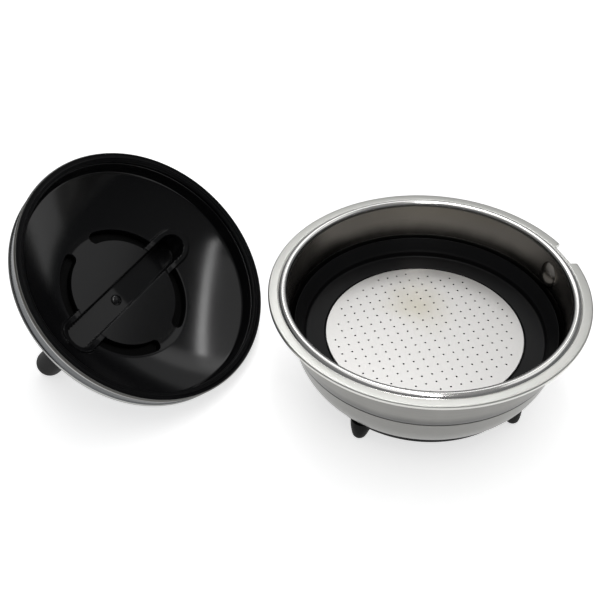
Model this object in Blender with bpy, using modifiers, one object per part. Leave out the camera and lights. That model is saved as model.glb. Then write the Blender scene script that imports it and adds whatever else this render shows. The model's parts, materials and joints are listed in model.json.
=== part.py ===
"""Two-piece coffee filter insert: a flanged steel filter basket standing on four feet,
and a steel-skinned, black-lined collector dish tipped on its side next to it.

Frame: +Z up, the table at z = 0, the origin at the middle of the object's footprint.
The basket is modelled about its own upright axis, with z = 0 at the flange's top.
The dish is modelled about its own axis, with z = 0 at the crest of its rim, +Z out of
its mouth and +X towards its second outlet.
"""

import math

import bmesh
import bpy
from mathutils import Matrix, Vector

MM = 0.001
GAP = 0.3                     # clearance between touching pieces

# Basket
FLANGE_R = 35.0
FLANGE_H = 26.4               # flange top above the table
BASKET_AT = (27.835, -3.27)   # basket axis in the object's frame
SCREEN_R = 22.33
SCREEN_TOP = -13.1
SCREEN_T = 0.4
HOLE_PITCH = 2.36
HOLE_R = 0.2
HOLE_FIELD_R = 20.6
LATTICE_TURN = math.radians(16.1)
FOOT_CIRCLE_R = 23.5
FOOT_TURN = math.radians(50.3)
MARK_TURN = math.radians(18)  # notch and dimple
DIMPLE_Z = -5.3
CAP_TOP = -21.5
CAP_BOTTOM = -22.4
CAP_R = 24.5

# Dish
DISH_AT = (-34.92, 7.753)     # rim centre in the object's frame
DISH_H = 23.66                # rim centre above the table
DISH_TILT = math.radians(40.6)
DISH_TURN = math.radians(60.6)
LINER_FLOOR = -12.2
TROUGH_FLOOR = -13.9
TROUGH_HALF_W = 3.1
LOBE_X = 17.9                 # end centres of the trough, and the pegs
BOSS_R = 4.6
BOSS_BOTTOM = -15.9
GROOVE_R = 14.8
GROOVE_HALF_W = 1.35
GROOVE_HALF_TURN = math.radians(30)
GROOVE_MIDDLES = (42, 138, 222, 318)
GROOVE_FLOOR = -13.7
PEG_R = 2.9
PEG_STEM_R = 1.4
PEG_BORE_R = 0.8
PEG_TOP = -17.3
STEM_TOP = -14.0
STUD_X = -2.8
SEAL_DROP = 0.35              # washer below its boss

STEPS = 48
SMALL_STEPS = 16

scene = bpy.context.scene
for old in list(bpy.data.objects):
    bpy.data.objects.remove(old, do_unlink=True)
parts = bpy.data.collections.new("filter_insert")
cutters = bpy.data.collections.new("cutters")
scene.collection.children.link(parts)
scene.collection.children.link(cutters)


def material(name, colour, roughness, metallic):
    made = bpy.data.materials.new(name)
    made.use_nodes = True
    shader = made.node_tree.nodes["Principled BSDF"]
    shader.inputs["Base Color"].default_value = (*colour, 1.0)
    shader.inputs["Roughness"].default_value = roughness
    shader.inputs["Metallic"].default_value = metallic
    return made


STEEL = material("brushed_steel", (0.62, 0.61, 0.58), 0.28, 1.0)
SCREEN_STEEL = material("screen_steel", (0.80, 0.79, 0.77), 0.38, 1.0)
GLOSS_BLACK = material("gloss_black_plastic", (0.012, 0.012, 0.014), 0.12, 0.0)
SATIN_BLACK = material("satin_black_plastic", (0.020, 0.020, 0.022), 0.42, 0.0)
RUBBER = material("black_rubber", (0.030, 0.030, 0.032), 0.70, 0.0)
SEAL = material("seal_rubber", (0.040, 0.040, 0.042), 0.80, 0.0)


def frame(name, at, turn=(0.0, 0.0, 0.0)):
    empty = bpy.data.objects.new(name, None)
    empty.location = Vector(at) * MM
    empty.rotation_euler = turn
    scene.collection.objects.link(empty)
    return empty


BASKET = frame("basket_frame", (*BASKET_AT, FLANGE_H))
DISH = frame("dish_frame", (*DISH_AT, DISH_H), (DISH_TILT, 0.0, DISH_TURN))


def add(name, mesh, parent, finish=None):
    """Links a mesh as a part, or as a cutter when it has no finish."""
    made = bpy.data.objects.new(name, mesh)
    made.parent = parent
    if finish is None:
        cutters.objects.link(made)
        made.hide_render = True
        made.display_type = "WIRE"
    else:
        parts.objects.link(made)
        mesh.materials.append(finish)
    return made


def turned(name, profile, parent, finish=None, steps=STEPS, closed=True):
    """Turns a profile of (radius, height) points; its outer side runs downwards."""
    mesh = bpy.data.meshes.new(name)
    points = [(r * MM, 0.0, z * MM) for r, z in profile]
    edges = [(i, i + 1) for i in range(len(points) - 1)]
    if closed:
        edges.append((len(points) - 1, 0))
    mesh.from_pydata(points, edges, [])
    made = add(name, mesh, parent, finish)
    screw = made.modifiers.new("turn", "SCREW")
    screw.angle = math.tau
    screw.steps = steps
    screw.render_steps = steps
    screw.use_merge_vertices = True
    screw.merge_threshold = 0.00001
    screw.use_smooth_shade = True
    return made


def from_bmesh(name, shape, parent, finish=None):
    mesh = bpy.data.meshes.new(name)
    bmesh.ops.recalc_face_normals(shape, faces=shape.faces)
    shape.to_mesh(mesh)
    shape.free()
    return add(name, mesh, parent, finish)


def block(name, size, at, turn, parent):
    """A cutter or lug: a box moved to `at` and then turned about the axis."""
    shape = bmesh.new()
    bmesh.ops.create_cube(shape, size=1.0)
    bmesh.ops.scale(shape, vec=Vector(size) * MM, verts=shape.verts)
    bmesh.ops.translate(shape, vec=Vector(at) * MM, verts=shape.verts)
    bmesh.ops.rotate(shape, matrix=Matrix.Rotation(turn, 3, "Z"), verts=shape.verts)
    return from_bmesh(name, shape, parent)


def upright(spots, low, high, steps=SMALL_STEPS):
    """Upright cylinders between two heights; a spot is (x, y, radius)."""
    shape = bmesh.new()
    for x, y, radius in spots:
        middle = Matrix.Translation(Vector((x, y, (low + high) / 2)) * MM)
        bmesh.ops.create_cone(shape, cap_ends=True, segments=steps, radius1=radius * MM,
                              radius2=radius * MM, depth=(high - low) * MM, matrix=middle)
    return shape


def outline_solid(name, points, low, high, parent):
    """A cutter: a flat outline of (x, y) points, thickened between two heights."""
    curve = bpy.data.curves.new(name, "CURVE")
    curve.dimensions = "2D"
    curve.fill_mode = "BOTH"
    curve.extrude = (high - low) / 2 * MM
    spline = curve.splines.new("POLY")
    spline.points.add(len(points) - 1)
    for point, (x, y) in zip(spline.points, points):
        point.co = (x * MM, y * MM, 0.0, 1.0)
    spline.use_cyclic_u = True
    guide = bpy.data.objects.new(name + "_outline", curve)
    cutters.objects.link(guide)
    guide.location.z = (low + high) / 2 * MM
    bpy.context.view_layer.update()
    evaluated = guide.evaluated_get(bpy.context.evaluated_depsgraph_get())
    mesh = bpy.data.meshes.new_from_object(evaluated)
    shape = bmesh.new()
    shape.from_mesh(mesh)
    bmesh.ops.remove_doubles(shape, verts=shape.verts, dist=0.00001)
    bmesh.ops.transform(shape, matrix=guide.matrix_world, verts=shape.verts)
    bpy.data.objects.remove(guide, do_unlink=True)
    bpy.data.meshes.remove(mesh)
    return from_bmesh(name, shape, parent)


def boolean(target, other, operation):
    step = target.modifiers.new(operation.lower() + "_" + other.name, "BOOLEAN")
    step.operation = operation
    step.object = other
    step.solver = "EXACT"


def polar(radius, angle):
    return radius * math.cos(angle), radius * math.sin(angle)


def arc(radius, start, end, count, centre=(0.0, 0.0)):
    """Points along an arc, both ends included."""
    turns = [start + (end - start) * i / count for i in range(count + 1)]
    spots = [polar(radius, turn) for turn in turns]
    return [(centre[0] + x, centre[1] + y) for x, y in spots]


def slot_outline(half_width, reach):
    """A slot along X with round ends centred at -reach and +reach."""
    right = arc(half_width, -math.pi / 2, math.pi / 2, 12, (reach, 0.0))
    left = arc(half_width, math.pi / 2, 3 * math.pi / 2, 12, (-reach, 0.0))
    return right + left


def basket_shell():
    """The pressed cup: flange, rolled bead, wall with a groove, bowl and floor."""
    outside = [(34.75, 0.0), (35.0, -0.25), (35.0, -0.95), (31.9, -0.95), (31.55, -1.3),
               (31.0, -6.3), (30.8, -8.6), (30.35, -9.9), (29.95, -11.4), (29.1, -14.8),
               (28.35, -16.8), (27.3, -18.6), (25.9, -20.2), (24.3, -21.2), (2.1, -21.2)]
    inside = [(2.1, -20.6), (24.1, -20.6), (25.3, -19.9), (26.8, -18.25), (27.75, -16.5),
              (28.5, -14.6), (29.35, -11.3), (29.7, -9.75), (30.2, -8.4), (30.45, -6.2),
              (30.87, -0.9), (30.87, 0.1)]
    bead = [(31.2, 0.45), (31.9, 0.6), (32.45, 0.3), (32.75, -0.05), (32.95, 0.0)]
    shell = turned("basket_shell", outside + inside + bead, BASKET, STEEL, steps=56)
    notch = block("notch_cutter", (4.0, 7.3, 4.0), (35.2, 0.0, -0.5), MARK_TURN, BASKET)
    boolean(shell, notch, "DIFFERENCE")
    bump = dimple_cone("dimple_bump", 1.9, 0.9, 30.8, 29.75)
    dent = dimple_cone("dimple_dent", 1.7, 0.4, 31.6, 30.35)
    boolean(shell, bump, "UNION")
    boolean(shell, dent, "DIFFERENCE")


def dimple_cone(name, wide, narrow, outer, inner):
    """A blunt cone that points inwards, taller than it is wide."""
    shape = bmesh.new()
    bmesh.ops.create_cone(shape, cap_ends=True, segments=16, radius1=wide * MM,
                          radius2=narrow * MM, depth=(outer - inner) * MM)
    bmesh.ops.rotate(shape, matrix=Matrix.Rotation(-math.pi / 2, 3, "Y"), verts=shape.verts)
    bmesh.ops.scale(shape, vec=(1.0, 1.0, 1.3), verts=shape.verts)
    middle = Vector(((outer + inner) / 2, 0.0, DIMPLE_Z)) * MM
    bmesh.ops.translate(shape, vec=middle, verts=shape.verts)
    bmesh.ops.rotate(shape, matrix=Matrix.Rotation(MARK_TURN, 3, "Z"), verts=shape.verts)
    return from_bmesh(name, shape, BASKET)


def insert_ring():
    """The black stepped ring round the screen; its bore has a groove for the lugs."""
    profile = [(29.3, -8.95), (29.4, -9.15), (29.25, -10.3), (28.95, -11.3), (28.5, -13.0),
               (28.0, -14.7), (27.2, -16.4), (26.6, -17.3), (20.6, -17.3), (20.6, -16.4),
               (22.0, -16.4), (22.0, -14.5), (20.6, -14.5), (20.6, -13.8), (22.65, -13.8),
               (22.65, -13.15), (26.8, -13.0), (27.05, -12.7), (27.15, -11.8), (27.5, -11.4)]
    ring = turned("insert_ring", profile, BASKET, SATIN_BLACK)
    for number in range(3):
        turn = math.radians(30 + 120 * number)
        slot = block(f"entry_slot_{number}", (2.4, 5.4, 2.4), (21.4, 0.0, -17.0), turn, BASKET)
        boolean(ring, slot, "DIFFERENCE")


def filter_screen():
    """The perforated disc: a square lattice of fine holes inside a plain margin."""
    bottom = SCREEN_TOP - SCREEN_T
    disc = upright([(0.0, 0.0, SCREEN_R)], bottom, SCREEN_TOP, STEPS)
    screen = from_bmesh("filter_screen", disc, BASKET, SCREEN_STEEL)
    spots = []
    reach = int(HOLE_FIELD_R / HOLE_PITCH) + 1
    turn = Matrix.Rotation(LATTICE_TURN, 3, "Z")
    for row in range(-reach, reach + 1):
        for column in range(-reach, reach + 1):
            spot = turn @ Vector(((row + 0.5) * HOLE_PITCH, (column + 0.5) * HOLE_PITCH, 0.0))
            if spot.length <= HOLE_FIELD_R:
                spots.append((spot.x, spot.y, HOLE_R))
    pins = upright(spots, bottom - SCREEN_T, SCREEN_TOP + SCREEN_T, 4)
    boolean(screen, from_bmesh("screen_holes", pins, BASKET), "DIFFERENCE")


def flow_disc():
    """The disc under the screen: a collar that backs it and three lugs for the ring."""
    profile = [(20.2, -13.8), (20.2, -17.6), (22.2, -17.6), (22.1, -18.2), (21.7, -18.8),
               (2.2, -18.8), (2.2, -17.9), (18.6, -17.9), (18.6, -13.8)]
    disc = turned("flow_disc", profile, BASKET, SATIN_BLACK)
    for number in range(3):
        turn = math.radians(120 * number)
        lug = block(f"lug_{number}", (2.2, 4.4, 1.0), (20.4, 0.0, -15.4), turn, BASKET)
        boolean(disc, lug, "UNION")


def basket_small_parts():
    gasket = [(21.3, -19.1), (21.5, -19.4), (21.3, -20.25), (18.4, -20.25), (18.4, -19.1)]
    turned("disc_gasket", gasket, BASKET, SEAL)
    nozzle = [(4.0, -19.4), (4.0, -20.0), (1.8, -20.0), (1.8, -22.7), (3.2, -22.7),
              (3.0, -23.3), (0.5, -23.3), (0.5, -19.4)]
    turned("jet_nozzle", nozzle, BASKET, STEEL, steps=SMALL_STEPS)
    washer = [(4.2, -20.05), (4.2, -20.3), (2.1, -20.3), (2.1, -20.05)]
    turned("jet_seal", washer, BASKET, SEAL, steps=SMALL_STEPS)


def base_cap_and_feet():
    """The black base under the shell's floor, and the four feet in its rim."""
    profile = [(CAP_R, CAP_TOP), (CAP_R, CAP_BOTTOM + 0.3), (CAP_R - 0.3, CAP_BOTTOM),
               (2.1, CAP_BOTTOM), (2.1, CAP_TOP)]
    cap = turned("base_cap", profile, BASKET, SATIN_BLACK)
    turns = [FOOT_TURN + number * math.pi / 2 for number in range(4)]
    sockets = upright([(*polar(FOOT_CIRCLE_R, turn), 2.55) for turn in turns], -24.0, -20.0)
    boolean(cap, from_bmesh("foot_sockets", sockets, BASKET), "DIFFERENCE")
    for number, turn in enumerate(turns, start=1):
        foot(f"foot_{number}", turn)


def foot(name, turn):
    """A tapered, blunt peg whose outer side is the steeper one."""
    shape = bmesh.new()
    sole = -FLANGE_H
    rings = [(CAP_TOP, 2.25, 0.0), (-22.6, 2.15, 0.05), (-25.2, 1.6, 0.6),
             (-25.9, 1.3, 0.7), (sole + 0.1, 0.95, 0.75), (sole, 0.7, 0.75)]
    bmesh.ops.create_cone(shape, cap_ends=True, segments=16, radius1=rings[-1][1] * MM,
                          radius2=rings[0][1] * MM, depth=(CAP_TOP - sole) * MM)
    sides = [edge for edge in shape.edges if abs(edge.verts[0].co.z - edge.verts[1].co.z) > MM]
    bmesh.ops.subdivide_edges(shape, edges=sides, cuts=len(rings) - 2)
    levels = sorted({round(vert.co.z, 7) for vert in shape.verts}, reverse=True)
    for vert in shape.verts:
        height, radius, shift = rings[levels.index(round(vert.co.z, 7))]
        away = Vector((vert.co.x, vert.co.y)).normalized() * radius
        vert.co = Vector((FOOT_CIRCLE_R + shift + away.x, away.y, height)) * MM
    bmesh.ops.rotate(shape, matrix=Matrix.Rotation(turn, 3, "Z"), verts=shape.verts)
    from_bmesh(name, shape, BASKET, RUBBER)


def dish_shell():
    """The steel skin of the dish: rim band with a hem, conical flank and floor."""
    inside = [(0.0, -15.2), (15.8, -15.2), (16.9, -15.0), (17.98, -14.46), (28.88, -5.46),
              (29.3, -5.05), (29.55, -4.5), (29.55, -1.4)]
    outside = [(30.35, -1.4), (30.5, -1.9), (30.3, -4.0), (30.58, -4.3), (30.62, -4.7),
               (30.35, -5.05), (29.7, -5.6), (28.6, -6.35), (18.3, -14.85), (17.2, -15.5),
               (15.9, -15.7), (0.0, -15.7)]
    shell = turned("dish_shell", inside + outside, DISH, STEEL, closed=False)
    spots = [(-LOBE_X, 0.0, BOSS_R + GAP), (LOBE_X, 0.0, BOSS_R + GAP), (STUD_X, 0.0, 1.2)]
    cutter = from_bmesh("shell_holes", upright(spots, -18.0, -6.0), DISH)
    boolean(shell, cutter, "DIFFERENCE")


def dish_liner():
    """The black bowl: a cone inside an upright wall, a trough and four arc grooves."""
    bowl = [(0.0, LINER_FLOOR), (16.0, LINER_FLOOR), (17.0, -11.75), (28.1, -5.1),
            (28.35, -4.7), (28.6, -1.9), (28.75, -1.6), (29.25, -1.6)]
    under = [(29.25, -4.45), (29.0, -4.95), (28.69, -5.23), (17.79, -14.23), (16.8, -14.75),
             (15.7, -14.9), (0.0, -14.9)]
    liner = turned("dish_liner", bowl + under, DISH, GLOSS_BLACK, closed=False)
    for number, side in ((1, -1), (2, 1)):
        boss = from_bmesh(f"boss_{number}", upright([(side * LOBE_X, 0.0, BOSS_R)],
                                                    BOSS_BOTTOM, -6.0, 24), DISH)
        boolean(boss, boss_limit(f"boss_limit_{number}"), "INTERSECT")
        boolean(liner, boss, "UNION")
    trough = outline_solid("trough", slot_outline(TROUGH_HALF_W, LOBE_X),
                           TROUGH_FLOOR, 2.0, DISH)
    boolean(liner, trough, "DIFFERENCE")
    for number, middle in enumerate(GROOVE_MIDDLES):
        groove = outline_solid(f"arc_groove_{number}", groove_outline(math.radians(middle)),
                               GROOVE_FLOOR, -8.0, DISH)
        boolean(liner, groove, "DIFFERENCE")
    outlet_r = PEG_STEM_R + GAP
    spots = [(-LOBE_X, 0.0, outlet_r), (LOBE_X, 0.0, outlet_r), (STUD_X, 0.0, 1.1)]
    boolean(liner, from_bmesh("liner_holes", upright(spots, -18.0, -11.0), DISH), "DIFFERENCE")


def boss_limit(name):
    """The space a boss may fill: from inside the liner's wall downwards."""
    return turned(name, [(0.0, -13.4), (16.5, -13.4), (17.3, -12.9), (22.7, -9.3),
                         (26.0, -7.2), (26.0, -18.0), (0.0, -18.0)], DISH, closed=False)


def groove_outline(middle):
    """A curved slot with round ends."""
    start, end = middle - GROOVE_HALF_TURN, middle + GROOVE_HALF_TURN
    outer = arc(GROOVE_R + GROOVE_HALF_W, start, end, 12)
    inner = arc(GROOVE_R - GROOVE_HALF_W, end, start, 12)
    far_end = arc(GROOVE_HALF_W, end, end + math.pi, 6, polar(GROOVE_R, end))
    near_end = arc(GROOVE_HALF_W, start + math.pi, start + math.tau, 6,
                   polar(GROOVE_R, start))
    return outer + far_end[1:-1] + inner + near_end[1:-1]


def rim_seal():
    """The black rubber rim that covers the top edges of the shell and the liner."""
    profile = [(30.3, 0.0), (30.65, -0.15), (30.78, -0.5), (30.78, -0.9), (30.6, -1.1),
               (28.75, -1.15), (28.5, -1.0), (28.5, -0.7), (28.95, -0.2), (29.3, 0.0)]
    turned("rim_seal", profile, DISH, RUBBER)


def outlet_pegs():
    """Two hollow pegs that plug into the bosses, each with a sealing washer."""
    rest_centre = -(DISH_H - PEG_R) / math.cos(DISH_TILT)
    dome = [(PEG_R * math.cos(a), rest_centre - PEG_R * math.sin(a))
            for a in [math.radians(d) for d in (0, 15, 30, 45, 60, 73)]]
    body = [(PEG_R, PEG_TOP)] + dome
    stem = [(PEG_BORE_R, dome[-1][1]), (PEG_BORE_R, STEM_TOP), (PEG_STEM_R, STEM_TOP),
            (PEG_STEM_R, PEG_TOP)]
    for number, side in ((1, -1), (2, 1)):
        peg = turned(f"outlet_peg_{number}", body + stem, DISH, RUBBER, steps=SMALL_STEPS)
        peg.location.x = side * LOBE_X * MM
        top = BOSS_BOTTOM - SEAL_DROP
        washer = [(2.8, top), (2.8, top - 0.7), (1.8, top - 0.7), (1.8, top)]
        seal = turned(f"peg_seal_{number}", washer, DISH, SEAL, steps=SMALL_STEPS)
        seal.location.x = side * LOBE_X * MM


def liner_stud():
    """The rivet that holds the liner to the shell, and the clip on its end."""
    dome = [(0.0, -12.5), (0.7, -12.6), (1.25, -12.95), (1.5, -13.5)]
    stem = [(0.8, -13.5), (0.8, -17.1), (0.0, -17.1)]
    stud = turned("liner_stud", dome + stem, DISH, STEEL, steps=SMALL_STEPS, closed=False)
    stud.location.x = STUD_X * MM
    ring = [(3.2, -16.0), (3.2, -16.6), (1.1, -16.6), (1.1, -16.0)]
    clip = turned("stud_clip", ring, DISH, STEEL, steps=SMALL_STEPS)
    clip.location.x = STUD_X * MM


basket_shell()
insert_ring()
filter_screen()
flow_disc()
basket_small_parts()
base_cap_and_feet()
dish_shell()
dish_liner()
rim_seal()
outlet_pegs()
liner_stud()
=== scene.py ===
"""Looks of a two-piece coffee filter insert: a steel filter basket standing on four
feet, and a black-lined steel dish tipped on its side next to it.

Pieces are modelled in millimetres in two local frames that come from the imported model:
BASKET has its origin on the basket's axis at the flange's top, and DISH has its origin at
the middle of the rim's crest, +Z out of the mouth and +X towards the second outlet.
"""

import json
import math

import bmesh
import bpy
import numpy as np
from mathutils import Matrix, Vector


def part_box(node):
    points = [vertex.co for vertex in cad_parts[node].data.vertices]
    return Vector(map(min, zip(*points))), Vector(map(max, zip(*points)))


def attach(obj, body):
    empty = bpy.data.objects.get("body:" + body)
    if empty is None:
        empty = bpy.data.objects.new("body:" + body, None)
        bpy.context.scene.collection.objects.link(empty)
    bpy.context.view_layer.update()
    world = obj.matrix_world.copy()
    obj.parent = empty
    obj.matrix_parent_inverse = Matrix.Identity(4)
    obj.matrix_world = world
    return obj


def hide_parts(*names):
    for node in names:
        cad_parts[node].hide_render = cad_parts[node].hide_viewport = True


MM = 0.001
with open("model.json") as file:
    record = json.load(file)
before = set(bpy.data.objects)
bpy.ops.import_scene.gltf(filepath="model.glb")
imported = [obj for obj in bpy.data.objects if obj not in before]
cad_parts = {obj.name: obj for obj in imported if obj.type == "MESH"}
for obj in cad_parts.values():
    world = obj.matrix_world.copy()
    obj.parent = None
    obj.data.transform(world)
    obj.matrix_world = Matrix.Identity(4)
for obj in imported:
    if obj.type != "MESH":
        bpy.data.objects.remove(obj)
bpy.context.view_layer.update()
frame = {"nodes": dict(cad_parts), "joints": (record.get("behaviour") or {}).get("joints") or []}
scene = bpy.context.scene


# ---------------------------------------------------------------- frames

def centre(node):
    low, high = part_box(node)
    return (low + high) / 2


SCREEN_TOP = -13.1            # screen below the flange's top
PEG_SEAL_Z = -16.6            # middle of the peg washers below the rim's crest

screen_mid = centre("filter_screen")
flange_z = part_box("filter_screen")[1].z - SCREEN_TOP * MM
BASKET = Matrix.Translation((screen_mid.x, screen_mid.y, flange_z))

out = Vector(next(j["axis"] for j in frame["joints"] if j["name"] == "seal_lift"))
out.normalize()
seal_1, seal_2 = centre("peg_seal_1"), centre("peg_seal_2")
along = (seal_2 - seal_1).normalized()
across = out.cross(along).normalized()
rim_middle = (seal_1 + seal_2) / 2 - out * PEG_SEAL_Z * MM
DISH = Matrix((along, across, out)).transposed().to_4x4()
DISH.translation = rim_middle


# ---------------------------------------------------------------- materials

class Nodes:
    """A small writer of node trees: add(kind, inputs, settings) returns the node."""

    def __init__(self, tree):
        self.tree = tree

    def add(self, kind, inputs=None, **settings):
        made = self.tree.nodes.new(kind)
        for key, value in settings.items():
            setattr(made, key, value)
        for key, value in (inputs or {}).items():
            if isinstance(value, bpy.types.NodeSocket):
                self.tree.links.new(value, made.inputs[key])
            else:
                made.inputs[key].default_value = value
        return made

    def math(self, operation, first, second=0.0, third=0.0):
        return self.add("ShaderNodeMath", {0: first, 1: second, 2: third},
                        operation=operation).outputs[0]

    def spread(self, value, low, high):
        """Maps 0..1 to low..high."""
        return self.add("ShaderNodeMapRange", {"Value": value, "To Min": low,
                                               "To Max": high}).outputs[0]

    def mix(self, factor, first, second):
        made = self.add("ShaderNodeMix", data_type="RGBA")
        for slot, value in ((0, factor), (6, first), (7, second)):
            if isinstance(value, bpy.types.NodeSocket):
                self.tree.links.new(value, made.inputs[slot])
            else:
                made.inputs[slot].default_value = value
        return made.outputs[2]


def in_mm(nodes, place):
    """Coordinates in millimetres in a piece's own frame; they move with the piece."""
    return nodes.add("ShaderNodeMapping", {
        "Vector": nodes.add("ShaderNodeTexCoord").outputs["Object"],
        "Location": place.translation, "Rotation": place.to_euler(),
        "Scale": (MM, MM, MM)}, vector_type="TEXTURE").outputs[0]


def around_axis(nodes, spot):
    """Coordinates that follow a turned piece: radius, a slow turn, and height."""
    split = nodes.add("ShaderNodeSeparateXYZ", {0: spot})
    flat = nodes.add("ShaderNodeCombineXYZ", {"X": split.outputs[0], "Y": split.outputs[1]})
    radius = nodes.add("ShaderNodeVectorMath", {0: flat.outputs[0]},
                       operation="LENGTH").outputs["Value"]
    turn = nodes.math("ARCTAN2", split.outputs[1], split.outputs[0])
    return nodes.add("ShaderNodeCombineXYZ", {
        "X": radius, "Y": nodes.math("MULTIPLY", turn, 0.6), "Z": split.outputs[2]}).outputs[0]


def round_axis_way(nodes, place):
    """The direction of the spinning marks, for anisotropic metal."""
    spot = nodes.add("ShaderNodeTexCoord").outputs["Object"]
    away = nodes.add("ShaderNodeVectorMath", {0: spot, 1: place.translation},
                     operation="SUBTRACT").outputs[0]
    way = nodes.add("ShaderNodeVectorMath", {0: place.col[2].xyz, 1: away},
                    operation="CROSS_PRODUCT").outputs[0]
    return nodes.add("ShaderNodeVectorTransform", {0: way}, vector_type="VECTOR",
                     convert_from="OBJECT", convert_to="WORLD").outputs[0]


STAIN_RAGGED = 1.2            # how far the wide noise moves a stain's edge, in radii
STAIN_EDGE = (0.6, 1.9)       # where a stain starts to fade and where it ends, in radii
STAIN_STRENGTH = 0.6
FADE_RAGGED = 0.3             # how far the wide noise moves a fade, as a share of its height
DUST_CELLS = 0.3              # cells that may hold a speck, per millimetre
SPECK_SIZE = 0.035            # in cells
SPECK_STRENGTH = 0.35
SPECK_TINT = (0.4, 0.4, 0.38, 1.0)


def finish(name, tones, roughness, metallic=0.0, place=BASKET, turned=False, grain=2.0,
           relief=0.1, depth=0.02, cloud=0.15, anisotropic=0.0, specular=0.5, dust=0.0,
           stain=None, fade=None):
    """A surface from two tones, clouded by a wide noise and broken by a fine grain.

    stain is (middle, radius, tint) and fade is (low, high, tint), in the millimetres of
    the piece's own frame. dust is the share of cells that hold a speck.
    """
    made = bpy.data.materials.new(name)
    made.use_nodes = True
    tree = made.node_tree
    shader = tree.nodes["Principled BSDF"]
    nodes = Nodes(tree)
    spot = in_mm(nodes, place)
    fine_spot = around_axis(nodes, spot) if turned else spot
    wide = nodes.add("ShaderNodeTexNoise", {"Vector": spot, "Scale": cloud, "Detail": 4.0,
                                            "Roughness": 0.6}).outputs[0]
    fine = nodes.add("ShaderNodeTexNoise", {"Vector": fine_spot, "Scale": grain,
                                            "Detail": 6.0, "Roughness": 0.65}).outputs[0]
    shade = nodes.math("MULTIPLY_ADD", fine, 0.5, nodes.math("MULTIPLY", wide, 0.5))
    colour = nodes.mix(shade, (*tones[0], 1.0), (*tones[1], 1.0))
    if stain:
        middle, radius, tint = stain
        away = nodes.add("ShaderNodeVectorMath", {0: spot, 1: middle},
                         operation="DISTANCE").outputs["Value"]
        ragged = nodes.math("MULTIPLY_ADD", wide, radius * STAIN_RAGGED, away)
        inside = nodes.add("ShaderNodeMapRange", {
            "Value": ragged, "From Min": radius * STAIN_EDGE[0],
            "From Max": radius * STAIN_EDGE[1], "To Min": STAIN_STRENGTH, "To Max": 0.0},
            interpolation_type="SMOOTHSTEP").outputs[0]
        colour = nodes.mix(inside, colour, (*tint, 1.0))
    # fade paints shade: the tint below low, blending to the surface's own colour by high.
    if fade:
        low, high, tint = fade
        ragged_by = FADE_RAGGED * (high - low)
        level = nodes.add("ShaderNodeSeparateXYZ", {0: spot}).outputs[2]
        clean = nodes.add("ShaderNodeMapRange", {
            "Value": nodes.math("MULTIPLY_ADD", wide, ragged_by, level),
            "From Min": low + ragged_by / 2, "From Max": high + ragged_by / 2},
            interpolation_type="SMOOTHSTEP").outputs[0]
        colour = nodes.mix(clean, (*tint, 1.0), colour)
    if dust:
        cells = nodes.add("ShaderNodeTexVoronoi", {"Vector": spot, "Scale": DUST_CELLS})
        chosen = nodes.math("GREATER_THAN", cells.outputs["Color"], 1.0 - dust)
        close = nodes.math("LESS_THAN", cells.outputs["Distance"], SPECK_SIZE)
        speck = nodes.math("MULTIPLY", chosen, close)
        colour = nodes.mix(nodes.math("MULTIPLY", speck, SPECK_STRENGTH), colour, SPECK_TINT)
    tree.links.new(colour, shader.inputs["Base Color"])
    uneven = nodes.math("MULTIPLY_ADD", fine, 0.35, nodes.math("MULTIPLY", wide, 0.65))
    tree.links.new(nodes.spread(uneven, *roughness), shader.inputs["Roughness"])
    bump = nodes.add("ShaderNodeBump", {"Strength": relief, "Distance": depth * MM,
                                        "Height": fine})
    tree.links.new(bump.outputs[0], shader.inputs["Normal"])
    shader.inputs["Metallic"].default_value = metallic
    shader.inputs["Specular IOR Level"].default_value = specular
    if anisotropic:
        shader.inputs["Anisotropic"].default_value = anisotropic
        tree.links.new(round_axis_way(nodes, place), shader.inputs["Tangent"])
    return made


SPUN = dict(metallic=1.0, turned=True, grain=5.0, relief=0.2, depth=0.008)
BLACK = ((0.0025, 0.0025, 0.003), (0.006, 0.006, 0.0065))

BODY_TONES = ((0.20, 0.198, 0.19), (0.31, 0.307, 0.293))
BODY_ROUGH = (0.26, 0.38)

STEEL = finish("spun_steel", BODY_TONES, BODY_ROUGH, anisotropic=0.4, **SPUN)
# Band above the groove: spun steel with painted shade, a dark tint below -10.6 mm fading out by
# -7.6 mm.
SHADED_BAND_STEEL = finish("spun_band_steel_painted_shade", BODY_TONES, BODY_ROUGH, anisotropic=0.4,
                    fade=(-10.6, -7.6, (0.08, 0.08, 0.078)), **SPUN)
POLISHED = finish("polished_steel", ((0.80, 0.79, 0.77), (0.90, 0.89, 0.87)), (0.10, 0.18),
                  metallic=1.0, turned=True, grain=5.0, relief=0.05, depth=0.004)
FLANGE_STEEL = finish("flange_steel", ((0.54, 0.54, 0.515), (0.68, 0.68, 0.65)),
                      (0.28, 0.40), anisotropic=0.6, **SPUN)
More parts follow.
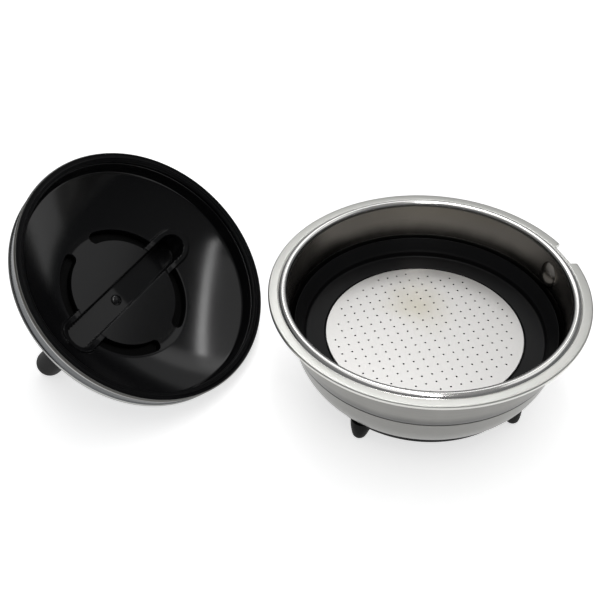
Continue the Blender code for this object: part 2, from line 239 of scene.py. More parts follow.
# Inner wall: spun steel; a dark tint below -9 mm, fading out by -3.6 mm, is painted shade and
# reflection.
INNER_STEEL = finish("inner_wall_steel", ((0.44, 0.41, 0.37), (0.58, 0.545, 0.50)),
                     (0.18, 0.28), anisotropic=0.3, fade=(-9.0, -3.6, (0.05, 0.046, 0.042)),
                     **SPUN)
SKIN_STEEL = finish("dish_steel", ((0.075, 0.079, 0.082), (0.12, 0.125, 0.13)), (0.18, 0.30),
                    place=DISH, anisotropic=0.4, **SPUN)
HEM_STEEL = finish("dish_hem_steel", ((0.34, 0.34, 0.33), (0.46, 0.46, 0.45)), (0.14, 0.24),
                   place=DISH, **SPUN)
RIVET_STEEL = finish("rivet_steel", ((0.30, 0.30, 0.30), (0.40, 0.40, 0.39)), (0.15, 0.25),
                     place=DISH, metallic=1.0, grain=3.0)
SCREEN_STEEL = finish("screen_steel", ((0.63, 0.62, 0.605), (0.77, 0.76, 0.745)), (0.34, 0.45),
                      1.0, grain=1.6, relief=0.1, depth=0.015, cloud=0.08,
                      stain=((-0.2, 8.4, SCREEN_TOP), 8.5, (0.52, 0.48, 0.36)))
# Hole walls: near-black steel, painted shade inside the holes.
HOLE_WALL_SHADE_STEEL = finish("hole_wall_painted_shade", ((0.03, 0.03, 0.03), (0.06, 0.06, 0.058)),
                    (0.5, 0.7), 1.0, grain=6.0)
GLOSS_BLACK = finish("gloss_black", BLACK, (0.10, 0.19), place=DISH, grain=0.5, relief=0.05,
                     depth=0.03, cloud=0.06, specular=0.32, dust=0.03)
# Arc grooves: near-black with little shine, painted shade in the recesses.
GROOVE_SHADE_BLACK = finish("groove_painted_shade", ((0.001, 0.001, 0.001), (0.002, 0.002, 0.002)),
                      (0.30, 0.45), place=DISH, grain=0.8, relief=0.05, specular=0.06)
SATIN_BLACK = finish("satin_black", BLACK, (0.32, 0.47), grain=3.0, relief=0.15,
                     depth=0.03, specular=0.16, dust=0.05)
RIM_BLACK = finish("rim_rubber", ((0.002, 0.002, 0.0025), (0.005, 0.005, 0.0055)),
                   (0.22, 0.36), place=DISH, turned=True, grain=4.0, relief=0.12,
                   specular=0.08)
# The rim's outer edge: lighter grey rubber, a painted sheen along it.
RIM_SHEEN = finish("rim_edge_painted_sheen", ((0.09, 0.09, 0.085), (0.15, 0.15, 0.14)),
                  (0.25, 0.35), place=DISH, turned=True, grain=4.0, relief=0.12)
RIM_BROWN = finish("rim_side_rubber", ((0.042, 0.038, 0.032), (0.066, 0.060, 0.050)),
                   (0.25, 0.40), place=DISH, turned=True, grain=4.0, relief=0.12,
                   specular=0.4)
FOOT_RUBBER = finish("foot_rubber", ((0.002, 0.002, 0.002), (0.006, 0.006, 0.006)),
                     (0.45, 0.65), grain=4.0, relief=0.3, depth=0.05, specular=0.12)
SEAL_RUBBER = finish("seal_rubber", ((0.022, 0.022, 0.023), (0.040, 0.040, 0.040)),
                     (0.65, 0.85), grain=5.0, relief=0.3, depth=0.04)


# ---------------------------------------------------------------- mesh helpers

SHARP = math.radians(38)
SKIN_SHARP = math.radians(30)


def soften(points, closed=True, steps=4):
    """Rounds a profile's corners: a point is (radius, height, rounding length)."""
    made = []
    count = len(points)
    for i, (r, z, size) in enumerate(points):
        here = Vector((r, z))
        if size <= 0 or (not closed and i in (0, count - 1)):
            made.append((r, z))
            continue
        before = Vector(points[i - 1][:2]) - here
        after = Vector(points[(i + 1) % count][:2]) - here
        start = here + before.normalized() * min(size, before.length * 0.45)
        end = here + after.normalized() * min(size, after.length * 0.45)
        for k in range(steps + 1):
            t = k / steps
            spot = start * (1 - t) ** 2 + here * 2 * t * (1 - t) + end * t ** 2
            made.append((spot.x, spot.y))
    return made


def show(name, shape, local, body, nodes, materials):
    """Links a bmesh in millimetres as a visible piece that stands for CAD nodes."""
    mesh = bpy.data.meshes.new(name)
    bmesh.ops.transform(shape, matrix=local @ Matrix.Scale(MM, 4), verts=shape.verts)
    bmesh.ops.recalc_face_normals(shape, faces=shape.faces)
    shape.to_mesh(mesh)
    shape.free()
    mesh.shade_smooth()
    mesh.set_sharp_from_angle(angle=SHARP)
    piece = bpy.data.objects.new(name, mesh)
    scene.collection.objects.link(piece)
    for material in materials:
        mesh.materials.append(material)
    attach(piece, body)
    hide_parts(*nodes)
    return piece


def turned(profile, angles=256, closed=True, warp=None, choose=None):
    """Turns a profile about Z. warp moves (radius, height, angle); choose(r, z) gives a
    span's material number. An open profile starts and ends on the axis."""
    turns = np.linspace(0, math.tau, angles, endpoint=False) if isinstance(angles, int) \
        else np.asarray(angles)
    shape = bmesh.new()
    rows = []
    for turn in turns:
        row = []
        for i, (r, z) in enumerate(profile):
            pole = not closed and i in (0, len(profile) - 1)
            if pole and rows:
                row.append(rows[0][i])
                continue
            if warp:
                r, z = warp(r, z, turn)
            row.append(shape.verts.new((r * math.cos(turn), r * math.sin(turn), z)))
        rows.append(row)
    spans = len(profile) if closed else len(profile) - 1
    for k, row in enumerate(rows):
        following = rows[(k + 1) % len(rows)]
        for i in range(spans):
            j = (i + 1) % len(profile)
            corners = [row[i], row[j], following[j], following[i]]
            unique = [v for n, v in enumerate(corners) if v not in corners[:n]]
            face = shape.faces.new(unique)
            if choose:
                r = (profile[i][0] + profile[j][0]) / 2
                z = (profile[i][1] + profile[j][1]) / 2
                face.material_index = choose(r, z)
    return shape


def smooth_step(value, low, high):
    t = np.clip((value - low) / (high - low), 0.0, 1.0)
    return t * t * (3 - 2 * t)


def slot_distance(x, y, reach):
    """Distance from a straight line along X between -reach and +reach."""
    past = np.maximum(np.abs(x) - reach, 0.0)
    return np.hypot(past, y)


# ---------------------------------------------------------------- basket

FLANGE_R = 35.0
FLAT_START_R = 33.0           # the flat flange starts here, outside the bead
MARK_TURN = math.radians(18.0)     # direction of the notch and of the dimple
NEAR_MARK = 0.13              # half the turn over which the mesh is finer
NOTCH_CHORD = 33.3            # the notch's straight edge, from the axis
NOTCH_HALF = 3.55
DIMPLE_Z = -5.35
DIMPLE_DEPTH = 1.45
DIMPLE_HALF_W, DIMPLE_HALF_H = 2.8, 3.2
WALL_LOW_Z, WALL_HIGH_Z = -9.0, -1.4    # the part of the wall that the dimple may bend
WALL_STEP = 0.16
GROOVE_STEP_Z = -11.12        # lower edge of the band above the outer groove
BEAD_EDGE_R, BEAD_LOW_Z = 32.85, -0.2
FLANGE_ROOT_R, FLANGE_LOW_Z = 31.95, -1.0
SHEET_R, SHEET_LOW_R = 30.6, 29.6       # between the sheet's two sides, above and below
SHEET_STEP_Z = -8.4                     # this height
SHEET_LEAN = 0.25
INNER_LOW_Z = -12             # the inner wall's finish ends here, behind the black ring


def basket_warp(r, z, turn):
    """Cuts the notch into the flange's edge and presses the dimple into the wall."""
    off = (turn - MARK_TURN + math.pi) % math.tau - math.pi
    side = abs(r * math.sin(off))
    if r > FLAT_START_R and z > -1.2 and abs(off) < 0.3:
        limit = NOTCH_CHORD / math.cos(off)
        inside = 1.0 - float(smooth_step(side, NOTCH_HALF - 0.12, NOTCH_HALF + 0.25))
        target = FLAT_START_R + (r - FLAT_START_R) * (limit - FLAT_START_R) \
            / (FLANGE_R - FLAT_START_R)
        r += (target - r) * inside
    elif r > 29.0 and WALL_LOW_Z < z < WALL_HIGH_Z and abs(off) < 0.2:
        spread = math.hypot(side / DIMPLE_HALF_W, (z - DIMPLE_Z) / DIMPLE_HALF_H)
        if spread < 1.0:
            r -= DIMPLE_DEPTH * (1.0 - spread ** 2) ** 0.75
    return r, z


def basket_angles():
    """Even turns, closer together at the notch and the dimple."""
    wide = np.linspace(0, math.tau, 288, endpoint=False)
    near = MARK_TURN + np.linspace(-NEAR_MARK, NEAR_MARK, 79)
    far = [t for t in wide
           if not MARK_TURN - NEAR_MARK - 0.003 < t < MARK_TURN + NEAR_MARK + 0.003]
    return sorted([*far, *near])


def fill_in(profile, low, high, step):
    """Adds points along the spans between two heights, for the dimple to bend."""
    made = []
    for (r, z), (r2, z2) in zip(profile, profile[1:] + profile[:1]):
        made.append((r, z))
        count = int(abs(z2 - z) / step)
        if count > 1 and low < (z + z2) / 2 < high:
            made += [(r + (r2 - r) * k / count, z + (z2 - z) * k / count)
                     for k in range(1, count)]
    return made


def basket_finish(r, z):
    """0 spun body, 1 polished bead, 2 flange, 3 inner wall, 4 band above the groove; 3 and 4 get
    painted shade.
    """
    if z > BEAD_LOW_Z and r < BEAD_EDGE_R:
        return 1
    if r > FLANGE_ROOT_R and z > FLANGE_LOW_Z:
        return 2
    sheet = SHEET_LOW_R if z < SHEET_STEP_Z else SHEET_R
    if z > INNER_LOW_Z and r < sheet + SHEET_LEAN * (z - INNER_LOW_Z) / -INNER_LOW_Z:
        return 3
    return 4 if z > GROOVE_STEP_Z else 0


def make_basket_shell():
    """The pressed cup: outer side, inner side and the rolled bead, as one turned sheet."""
    outside = [(34.8, 0.0, 0.15), (35.0, -0.2, 0.15), (35.0, -0.75, 0.15),
               (34.8, -0.95, 0.15), (31.95, -0.95, 0.2), (31.6, -1.4, 0.5),
               (31.2, -5.0, 1.5), (31.0, -8.4, 1.2), (30.5, -10.1, 0.7),
               (29.92, -11.1, 0.05), (30.02, -11.15, 0.03), (29.95, -11.6, 0.3),
               (29.2, -14.8, 1.5),
               (28.35, -16.9, 1.2), (27.3, -18.7, 1.0), (25.8, -20.3, 0.9),
               (24.0, -21.2, 0.8), (2.1, -21.2, 0.0)]
    inside = [(2.1, -20.6, 0.0), (23.9, -20.6, 0.8), (25.3, -19.9, 0.8),
              (26.8, -18.2, 1.0), (27.75, -16.5, 1.2), (28.6, -14.6, 1.5),
              (29.25, -11.3, 0.6), (29.4, -10.6, 0.3), (30.15, -9.6, 0.5),
              (30.4, -8.2, 0.6), (30.6, -5.0, 1.5), (30.8, -1.2, 0.5)]
    bead = [(30.86, -0.1, 0.5), (31.15, 0.42, 0.45), (31.9, 0.58, 0.6),
            (32.5, 0.34, 0.5), (32.8, -0.12, 0.2), (33.0, -0.02, 0.1)]
    profile = fill_in(soften(outside + inside + bead), WALL_LOW_Z, WALL_HIGH_Z, WALL_STEP)
    shape = turned(profile, basket_angles(), warp=basket_warp, choose=basket_finish)
    show("basket_body", shape, BASKET, "basket", ["basket_shell"],
         [STEEL, POLISHED, FLANGE_STEEL, INNER_STEEL, SHADED_BAND_STEEL])


def make_insert_ring():
    """The black stepped ring, with a groove behind for the disc's lugs."""
    profile = soften([(29.25, -8.95, 0.15), (29.42, -9.15, 0.2), (29.25, -10.3, 0.4),
                      (28.95, -11.3, 0.6), (28.5, -13.0, 0.8), (28.0, -14.7, 0.8),
                      (27.2, -16.4, 0.8), (26.6, -17.3, 0.3), (20.6, -17.3, 0.2),
                      (20.6, -16.4, 0.1), (22.0, -16.4, 0.1), (22.0, -14.5, 0.1),
                      (20.6, -14.5, 0.1), (20.6, -13.8, 0.1), (22.65, -13.8, 0.1),
                      (22.65, -13.1, 0.15), (26.75, -12.98, 0.15), (27.0, -12.75, 0.12),
                      (27.15, -11.75, 0.15), (27.5, -11.4, 0.25)])
    show("ring_moulding", turned(profile), BASKET, "ring", ["insert_ring"],
         [SATIN_BLACK])


LATTICE_TURN = math.radians(16.1)
HOLE_PITCH = 2.36
HOLE_FIELD_R = 20.6
HOLE_SIDES = 12
HOLE_R, HOLE_MOUTH_R = 0.20, 0.23
PLATE_R, PLATE_FLAT_R, PLATE_THICK = 22.33, 22.25, 0.4


def hole_spots():
    turn = Matrix.Rotation(LATTICE_TURN, 2)
    reach = int(HOLE_FIELD_R / HOLE_PITCH) + 2
    spots = [turn @ Vector(((i + 0.5) * HOLE_PITCH, (j + 0.5) * HOLE_PITCH))
             for i in range(-reach, reach) for j in range(-reach, reach)]
    return [spot for spot in spots if spot.length <= HOLE_FIELD_R]


def make_screen():
    """A thin disc with real holes, each a little wider at its top edge."""
    shape = bmesh.new()

    def loop(cx, cy, radius, z, sides):
        verts = [shape.verts.new((cx + radius * math.cos(math.tau * k / sides),
                                  cy + radius * math.sin(math.tau * k / sides), z))
                 for k in range(sides)]
        return verts, [shape.edges.new((verts[k - 1], verts[k])) for k in range(sides)]

    def bridge(upper, lower, material=0):
        for k in range(len(upper)):
            face = shape.faces.new((upper[k - 1], upper[k], lower[k], lower[k - 1]))
            face.material_index = material

    low = SCREEN_TOP - PLATE_THICK
    spots = hole_spots()
    top_edges, low_edges = [], []
    rim = [loop(0, 0, r, z, 192)
           for r, z in ((PLATE_FLAT_R, SCREEN_TOP), (PLATE_R, SCREEN_TOP - 0.12),
                        (PLATE_R, low))]
    top_edges += rim[0][1]
    low_edges += rim[2][1]
    bridge(rim[0][0], rim[1][0])
    bridge(rim[1][0], rim[2][0])
    for spot in spots:
        rings = [loop(spot.x, spot.y, r, z, HOLE_SIDES)
                 for r, z in ((HOLE_MOUTH_R, SCREEN_TOP), (HOLE_R, SCREEN_TOP - 0.06),
                              (HOLE_R, low))]
        top_edges += rings[0][1]
        low_edges += rings[2][1]
        # Each hole's mouth and wall take the dark painted-shade steel.
        bridge(rings[0][0], rings[1][0], 1)
        bridge(rings[1][0], rings[2][0], 1)
    bmesh.ops.triangle_fill(shape, use_beauty=True, edges=top_edges)
    bmesh.ops.triangle_fill(shape, use_beauty=True, edges=low_edges)
    show("screen_plate", shape, BASKET, "screen", ["filter_screen"],
         [SCREEN_STEEL, HOLE_WALL_SHADE_STEEL])


FOOT_TURN = math.radians(50.3)
FOOT_CIRCLE_R = 23.5


def make_base():
    """The black plate under the cup, and its four feet."""
    cap = soften([(24.95, -21.45, 0.1), (24.95, -22.2, 0.2), (24.7, -22.4, 0.2),
                  (3.6, -22.4, 0.2), (3.4, -22.62, 0.15), (2.1, -22.62, 0.1),
                  (2.1, -21.45, 0.0)])
    show("base_plate", turned(cap, 192), BASKET, "basket", ["base_cap"],
         [SATIN_BLACK])
    for number in range(4):
        turn = FOOT_TURN + number * math.pi / 2
        make_foot(f"foot_pad_{number + 1}", f"foot_{number + 1}", turn)


def make_foot(name, node, turn):
    """A tapered, blunt peg whose outer side is the steeper one. A ring is its height,
    its radius and how far it is shifted outwards."""
    rings = [(-21.55, 0.0, 0.0), (-21.55, 2.45, 0.0), (-22.5, 2.5, 0.1), (-23.4, 2.3, 0.35),
             (-24.4, 2.0, 0.6), (-25.2, 1.75, 0.78), (-25.8, 1.5, 0.88),
             (-26.15, 1.25, 0.9), (-26.32, 0.95, 0.9), (-26.4, 0.6, 0.9),
             (-26.4, 0.0, 0.9)]
    profile = [(radius, z) for z, radius, _ in rings]
    shifts = {z: shift for z, _, shift in rings}
    shape = turned(profile, 40, closed=False)
    for vert in shape.verts:
        vert.co.x += FOOT_CIRCLE_R + shifts[min(shifts, key=lambda z: abs(z - vert.co.z))]
    bmesh.ops.rotate(shape, matrix=Matrix.Rotation(turn, 3, "Z"), verts=shape.verts)
    show(name, shape, BASKET, "basket", [node], [FOOT_RUBBER])


def make_basket_inner_parts():
    """Gasket, rivet and washer under the screen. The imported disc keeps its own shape."""
    gasket = soften([(21.3, -19.1, 0.15), (21.5, -19.4, 0.2), (21.3, -20.25, 0.2),
                     (18.4, -20.25, 0.1), (18.4, -19.1, 0.1)])
    show("gasket_ring", turned(gasket, 128), BASKET, "disc",
         ["disc_gasket"], [SEAL_RUBBER])
    nozzle = soften([(3.9, -19.42, 0.2), (4.0, -19.95, 0.1), (1.8, -20.0, 0.1),
                     (1.8, -22.75, 0.1), (3.2, -22.75, 0.15), (3.0, -23.28, 0.2),
                     (0.5, -23.28, 0.15), (0.5, -19.42, 0.15)])
    show("jet_rivet", turned(nozzle, 64), BASKET, "basket", ["jet_nozzle"],
         [POLISHED])
    washer = soften([(4.2, -20.05, 0.1), (4.2, -20.3, 0.1), (2.1, -20.3, 0.05),
                     (2.1, -20.05, 0.05)])
    show("jet_washer", turned(washer, 64), BASKET, "basket", ["jet_seal"],
         [SEAL_RUBBER])
    frame["nodes"]["flow_disc"].data.materials.clear()
    frame["nodes"]["flow_disc"].data.materials.append(SATIN_BLACK)


# ---------------------------------------------------------------- dish

FLOOR_Z = -12.2
CONE_START = 16.0
EDGE_R, EDGE_Z = 28.1, -5.1
CONE_HOLLOW = 0.015
BORDER_H = 0.5
TROUGH_HALF_W = 3.1
LOBE_X = 17.9
PEG_X = 19.2
BORDER_HALF_W = 4.6
GROOVE_R = 14.8
GROOVE_HALF_W = 1.3
GROOVE_FLOOR_Z = -13.7
GROOVE_HALF_TURN = math.radians(30)
GROOVE_MIDDLES = (42, 138, 222, 318)
STUD_X = -2.8
BOSS_BOTTOM = -15.9
BACK_TOP_R, BACK_TOP_Z = 28.69, -5.23        # the liner's back: a cone between these
BACK_LOW_R, BACK_LOW_Z = 17.79, -14.23       # two circles, then a flat
BACK_FLAT_Z = -14.9
BOSS_HOLE_R, RIVET_HOLE_R = 4.85, 1.15
PEG_R = 3.15
RIDGE_X, RIDGE_Z, RIDGE_SLOPE = -1.5, -12.85, 0.1


def bowl_height(radius):
    """Floor, then a slightly hollow cone that starts with a soft bend."""
    slope = (EDGE_Z - FLOOR_Z) / (EDGE_R - CONE_START)
    past = radius - CONE_START
    bend = 1.0
    soft = np.where(past < -bend, 0.0,
                    np.where(past > bend, past, (past + bend) ** 2 / (4 * bend)))
    inside = np.clip(past, 0.0, EDGE_R - CONE_START)
    return FLOOR_Z + slope * soft - CONE_HOLLOW * inside * (EDGE_R - CONE_START - inside)


def arc_distance(x, y, middle):
    """Distance from an arc on the grooves' circle."""
    turn = (np.arctan2(y, x) - middle + math.pi) % math.tau - math.pi
    clipped = np.clip(turn, -GROOVE_HALF_TURN, GROOVE_HALF_TURN) + middle
    return np.hypot(x - GROOVE_R * np.cos(clipped), y - GROOVE_R * np.sin(clipped))


def liner_top(x, y):
    """Height of the bowl's surface with its border, grooves and trough."""
    radius = np.hypot(x, y)
    height = bowl_height(radius)
    from_trough = slot_distance(x, y, LOBE_X)
    outside_disc = smooth_step(radius, GROOVE_R - 1.6, GROOVE_R - 1.2)
    border = 1.0 - smooth_step(from_trough, BORDER_HALF_W - 0.3, BORDER_HALF_W)
    height = height + BORDER_H * border * outside_disc
    for middle in GROOVE_MIDDLES:
        away = arc_distance(x, y, math.radians(middle))
        groove = 1.0 - smooth_step(away, GROOVE_HALF_W - 0.35, GROOVE_HALF_W + 0.1)
        groove = groove * smooth_step(from_trough, BORDER_HALF_W - 0.25, BORDER_HALF_W)
        height = np.where(groove > 0, height + (GROOVE_FLOOR_Z - height) * groove, height)
    trough = 1.0 - smooth_step(from_trough, TROUGH_HALF_W - 0.35, TROUGH_HALF_W + 0.05)
    trough_floor = RIDGE_Z - RIDGE_SLOPE * np.sqrt((x - RIDGE_X) ** 2 + 1.0)
    return height + (trough_floor - height) * trough


def in_groove(spot):
    """True on the walls and the floor of an arc groove, which take the painted shade."""
    if slot_distance(spot.x, spot.y, LOBE_X) < BORDER_HALF_W - 0.1:
        return False
    return any(arc_distance(spot.x, spot.y, math.radians(middle)) < GROOVE_HALF_W - 0.05
               for middle in GROOVE_MIDDLES)


def liner_under(x, y):
    """Height of the liner's back, with a boss below each outlet."""
    radius = np.hypot(x, y)
    fall = (BACK_TOP_Z - BACK_LOW_Z) / (BACK_TOP_R - BACK_LOW_R)
    height = np.maximum(BACK_TOP_Z - (BACK_TOP_R - radius) * fall, BACK_FLAT_Z)
    height = np.where(radius > BACK_TOP_R, BACK_TOP_Z + (radius - BACK_TOP_R) * 1.4, height)
    for side in (-1, 1):
        boss = 1.0 - smooth_step(np.hypot(x - side * LOBE_X, y), BORDER_HALF_W - 0.15,
                                 BORDER_HALF_W)
        height = height + (np.minimum(BOSS_BOTTOM, height) - height) * boss
    return height


def make_liner():
    """Two height fields on one polar grid, closed by the bowl's upright wall."""
    turns = np.linspace(0, math.tau, 640, endpoint=False)
    inner = np.concatenate([np.arange(0.25, 23.2, 0.16), np.linspace(23.4, EDGE_R, 14)])
    wall = soften([(EDGE_R, EDGE_Z, 0.0), (28.32, -4.75, 0.25), (28.55, -1.9, 0.2),
                   (28.72, -1.6, 0.15), (29.2, -1.6, 0.12), (29.25, -4.45, 0.4),
                   (28.95, -4.95, 0.0)])
    outer = np.concatenate([np.linspace(BACK_TOP_R, 23.4, 12), np.arange(23.2, 12.6, -0.3),
                            np.linspace(12.0, 1.0, 6)])
    columns = [(r, liner_top(r * np.cos(turns), r * np.sin(turns))) for r in inner]
    columns += [(r, np.full_like(turns, z)) for r, z in wall[1:]]
    columns += [(r, liner_under(r * np.cos(turns), r * np.sin(turns))) for r in outer]
    shape = bmesh.new()
    grid = [[shape.verts.new((r * math.cos(t), r * math.sin(t), z))
             for t, z in zip(turns, heights)] for r, heights in columns]
    for ring, (near, far) in enumerate(zip(grid, grid[1:])):
        for k in range(len(turns)):
            face = shape.faces.new((near[k - 1], near[k], far[k], far[k - 1]))
            # Groove faces take the painted-shade black.
            if ring < len(inner) and in_groove(face.calc_center_median()):
                face.material_index = 1
    for ring, z in ((grid[0], float(liner_top(0.0, 0.0))), (grid[-1], BACK_FLAT_Z)):
        middle = shape.verts.new((0.0, 0.0, z))
        for k in range(len(turns)):
            shape.faces.new((ring[k - 1], ring[k], middle))
    show("bowl_liner", shape, DISH, "dish", ["dish_liner"],
         [GLOSS_BLACK, GROOVE_SHADE_BLACK])


def skin_finish(r, z):
    """0 skin, 1 the bright hem and the edge below it."""
    return int(r > 29.8 and (z > -1.8 or -4.55 < z < -4.15))


def make_dish_shell():
    """The steel skin, with openings for the two bosses and the rivet."""
    inside = [(0.0, -15.2, 0.0), (15.8, -15.2, 0.5), (16.9, -15.0, 0.4),
              (17.98, -14.46, 0.6), (28.88, -5.46, 0.4), (29.3, -5.05, 0.3),
              (29.55, -4.5, 0.3), (29.55, -1.4, 0.1)]
    outside = [(30.3, -1.4, 0.15), (30.45, -1.75, 0.15), (30.28, -3.9, 0.25),
               (30.5, -4.2, 0.15), (30.62, -4.45, 0.2), (30.6, -4.75, 0.2),
               (30.35, -5.05, 0.2), (29.7, -5.6, 0.3), (28.6, -6.35, 0.6),
               (18.3, -14.85, 0.6), (17.2, -15.5, 0.5), (15.9, -15.7, 0.4),
               (0.0, -15.7, 0.0)]
    shape = turned(soften(inside + outside, closed=False), 256, closed=False,
                   choose=skin_finish)
    piece = show("dish_skin", shape, DISH, "dish", ["dish_shell"],
                 [SKIN_STEEL, HEM_STEEL])
    pins = bmesh.new()
    for x, radius, sides in ((-LOBE_X, BOSS_HOLE_R, 96), (LOBE_X, BOSS_HOLE_R, 96),
                             (STUD_X, RIVET_HOLE_R, 48)):
        spot = DISH @ Matrix.Translation((x * MM, 0, -13 * MM))
        bmesh.ops.create_cone(pins, cap_ends=True, segments=sides, radius1=radius * MM,
                              radius2=radius * MM, depth=14 * MM, matrix=spot)
    mesh = bpy.data.meshes.new("skin_pins")
    pins.to_mesh(mesh)
    pins.free()
    cutter = bpy.data.objects.new("skin_pins", mesh)
    scene.collection.objects.link(cutter)
    cut = piece.modifiers.new("openings", "BOOLEAN")
    cut.operation = "DIFFERENCE"
    cut.object = cutter
    bpy.context.view_layer.update()
    evaluated = piece.evaluated_get(bpy.context.evaluated_depsgraph_get())
    solid = bpy.data.meshes.new_from_object(evaluated)
    piece.modifiers.remove(cut)
    piece.data = solid
    solid.shade_smooth()
    solid.set_sharp_from_angle(angle=SKIN_SHARP)
    bpy.data.objects.remove(cutter)


def rim_finish(r, z):
    """0 crest and inner step, 1 outer side, 2 the edge between them, lighter as a painted sheen.
    """
    if r < 30.5 or z < -1.05:
        return 0
    return 2 if z > -0.22 else 1


def make_rim_seal():
    """The black rim: a flat crest between two fine lips, and an inner step."""
    profile = soften([(30.35, 0.0, 0.15), (30.62, -0.12, 0.12), (30.78, -0.4, 0.15),
                      (30.78, -0.9, 0.12), (30.6, -1.1, 0.1), (28.72, -1.15, 0.1),
                      (28.5, -1.0, 0.1), (28.48, -0.7, 0.15), (28.85, -0.3, 0.2),
                      (29.1, -0.28, 0.05), (29.2, -0.04, 0.06), (29.4, 0.0, 0.08),
                      (29.52, -0.12, 0.05), (30.1, -0.12, 0.05), (30.2, 0.0, 0.05)])
    shape = turned(profile, 320, choose=rim_finish)
    show("rim_band", shape, DISH, "rim", ["rim_seal"],
         [RIM_BLACK, RIM_BROWN, RIM_SHEEN])


def make_pegs():
    """The two pegs that the dish stands on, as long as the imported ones, and washers."""
    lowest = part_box("outlet_peg_1")[0].z
    tip = -((rim_middle.z - lowest) / MM - PEG_R) / out.z
    dome = [(PEG_R * math.cos(a), tip - PEG_R * math.sin(a))
            for a in np.radians(np.linspace(0, 73, 14))]
    body = [(1.4, -17.3), (PEG_R - 0.15, -17.3), (PEG_R, -17.45)] + dome
    bore = [(0.8, dome[-1][1] + 0.1), (0.8, -15.4), (0.9, -15.3), (1.3, -15.3), (1.4, -15.4)]
    washer = soften([(2.8, -16.25, 0.15), (2.8, -16.95, 0.15), (1.8, -16.95, 0.1),
                     (1.8, -16.25, 0.1)])
    for number, side in ((1, -1), (2, 1)):
        local = DISH @ Matrix.Translation((side * PEG_X * MM, 0, 0))
        show(f"outlet_spigot_{number}", turned(body + bore, 72), local, "dish",
             [f"outlet_peg_{number}"], [FOOT_RUBBER])
        show(f"spigot_washer_{number}", turned(washer, 64), local, "dish",
             [f"peg_seal_{number}"], [SEAL_RUBBER])


def make_stud():
    """The small round pip in the trough, and its clip behind."""
    dome = [(1.6 * math.sin(a), -13.6 + 1.1 * math.cos(a))
            for a in np.radians(np.linspace(0, 90, 12))]
    stem = [(1.55, -13.7), (0.8, -13.72), (0.8, -17.0), (0.7, -17.1), (0.0, -17.1)]
    local = DISH @ Matrix.Translation((STUD_X * MM, 0, 0))
    show("liner_rivet", turned(dome + stem, 64, closed=False), local, "dish",
         ["liner_stud"], [GLOSS_BLACK])
    clip = soften([(3.2, -16.0, 0.15), (3.2, -16.6, 0.15), (1.1, -16.6, 0.1),
                   (1.1, -16.0, 0.1)])
    show("rivet_clip", turned(clip, 64), local, "dish", ["stud_clip"],
         [RIVET_STEEL])


# ---------------------------------------------------------------- stage

FLOOR_HALF = 2.5              # metres, as are the two radii between which the glow ends
FLOOR_DROP = 0.0001           # keeps the table just below the feet
GLOW_FULL_R, GLOW_END_R = 0.25, 0.7
FLOOR_GLOW = 0.68
ROOM_LOW = (0.10, 0.105, 0.11)
ROOM_HIGH = (0.26, 0.26, 0.26)
LIGHTS = (                    # name, place, target, size and brightness
    ("ceiling", (-0.12, 0.2, 0.8), (-0.12, 0.2, 0.0), (0.4, 1.2), 0.7),
    ("strip", (0.06, 0.0, 0.79), (0.06, 0.0, 0.0), (0.05, 1.15), 10.0),
    ("back_high", (0.05, 0.72, 0.80), (0.0, 0.0, 0.0), (0.8, 0.25), 0.95),
    ("back", (0.1, 0.9, 0.72), (0.0, 0.0, 0.0), (0.9, 0.5), 0.35),
    ("side", (0.46, 0.15, 0.62), (-0.035, 0.008, 0.02), (0.5, 0.32), 0.7),
)
CAMERA_FROM_BASKET = Vector((-28.035, -155.962, 135.07)) * MM
CAMERA_PITCH = math.radians(41.47)
CAMERA_ROLL = math.radians(-1.32)
SENSOR = 36.0
LENS = 946.0 / 600.0 * SENSOR
CLIP_START = 0.01


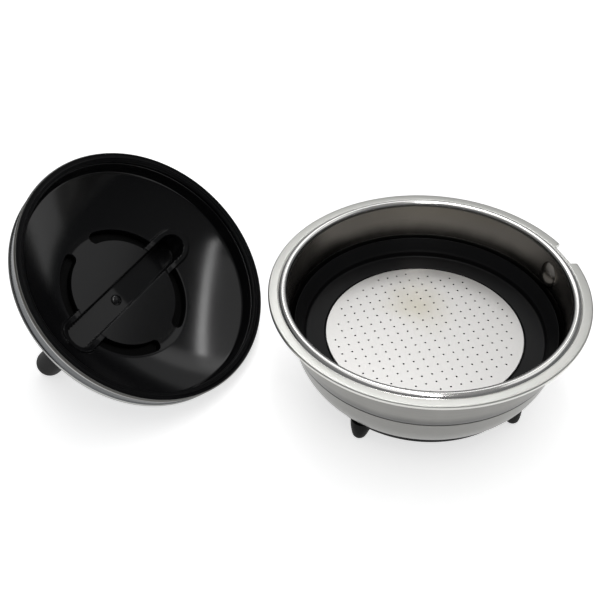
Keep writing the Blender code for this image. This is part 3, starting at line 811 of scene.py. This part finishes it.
def make_floor():
    """A pale table that glows a little in the middle, as a lightbox does."""
    mesh = bpy.data.meshes.new("floor")
    shape = bmesh.new()
    bmesh.ops.create_grid(shape, x_segments=8, y_segments=8, size=FLOOR_HALF)
    shape.to_mesh(mesh)
    shape.free()
    floor = bpy.data.objects.new("floor", mesh)
    floor.location.z = -FLOOR_DROP
    scene.collection.objects.link(floor)
    paint = finish("floor_paint", ((0.80, 0.80, 0.80), (0.84, 0.84, 0.84)), (0.55, 0.65),
                   grain=0.3, relief=0.02, cloud=0.01)
    nodes = Nodes(paint.node_tree)
    away = nodes.add("ShaderNodeVectorMath", {
        0: nodes.add("ShaderNodeTexCoord").outputs["Object"]}, operation="LENGTH")
    glow = nodes.add("ShaderNodeMapRange", {
        "Value": away.outputs["Value"], "From Min": GLOW_FULL_R, "From Max": GLOW_END_R,
        "To Min": FLOOR_GLOW, "To Max": 0.0}, interpolation_type="SMOOTHSTEP").outputs[0]
    shader = paint.node_tree.nodes["Principled BSDF"]
    shader.inputs["Emission Color"].default_value = (1.0, 1.0, 1.0, 1.0)
    paint.node_tree.links.new(glow, shader.inputs["Emission Strength"])
    mesh.materials.append(paint)


def softbox(name, place, target, size, radiance):
    """An area light of a given brightness, turned to a target."""
    data = bpy.data.lights.new(name, "AREA")
    data.shape = "RECTANGLE"
    data.size, data.size_y = size
    data.energy = radiance * math.pi * size[0] * size[1]
    lamp = bpy.data.objects.new(name, data)
    scene.collection.objects.link(lamp)
    lamp.location = place
    aim = Vector(target) - Vector(place)
    lamp.rotation_euler = aim.to_track_quat("-Z", "Y").to_euler()


def make_world():
    """A dim room, a little paler towards the ceiling."""
    world = bpy.data.worlds.new("room")
    scene.world = world
    world.use_nodes = True
    nodes = Nodes(world.node_tree)
    split = nodes.add("ShaderNodeSeparateXYZ", {
        0: nodes.add("ShaderNodeTexCoord").outputs["Generated"]})
    rise = nodes.add("ShaderNodeMapRange", {"Value": split.outputs[2], "From Min": 0.0,
                                            "From Max": 1.0}).outputs[0]
    back = world.node_tree.nodes["Background"]
    shade = nodes.mix(rise, (*ROOM_LOW, 1.0), (*ROOM_HIGH, 1.0))
    world.node_tree.links.new(shade, back.inputs["Color"])
    back.inputs["Strength"].default_value = 1.0


def make_camera():
    """The photograph's view of the two pieces, placed from the basket."""
    data = bpy.data.cameras.new("camera")
    data.sensor_width = SENSOR
    data.lens = LENS
    data.clip_start = CLIP_START
    camera = bpy.data.objects.new("camera", data)
    scene.collection.objects.link(camera)
    turn = Matrix.Rotation(math.pi / 2 - CAMERA_PITCH, 4, "X")
    roll = Matrix.Rotation(CAMERA_ROLL, 4, "Z")
    camera.matrix_world = Matrix.Translation(BASKET.translation + CAMERA_FROM_BASKET) \
        @ turn @ roll
    scene.camera = camera


make_basket_shell()
make_insert_ring()
make_screen()
make_base()
make_basket_inner_parts()
make_liner()
make_dish_shell()
make_rim_seal()
make_pegs()
make_stud()
make_floor()
make_world()
for light in LIGHTS:
    softbox(*light)
make_camera()
scene.view_settings.view_transform = "Standard"
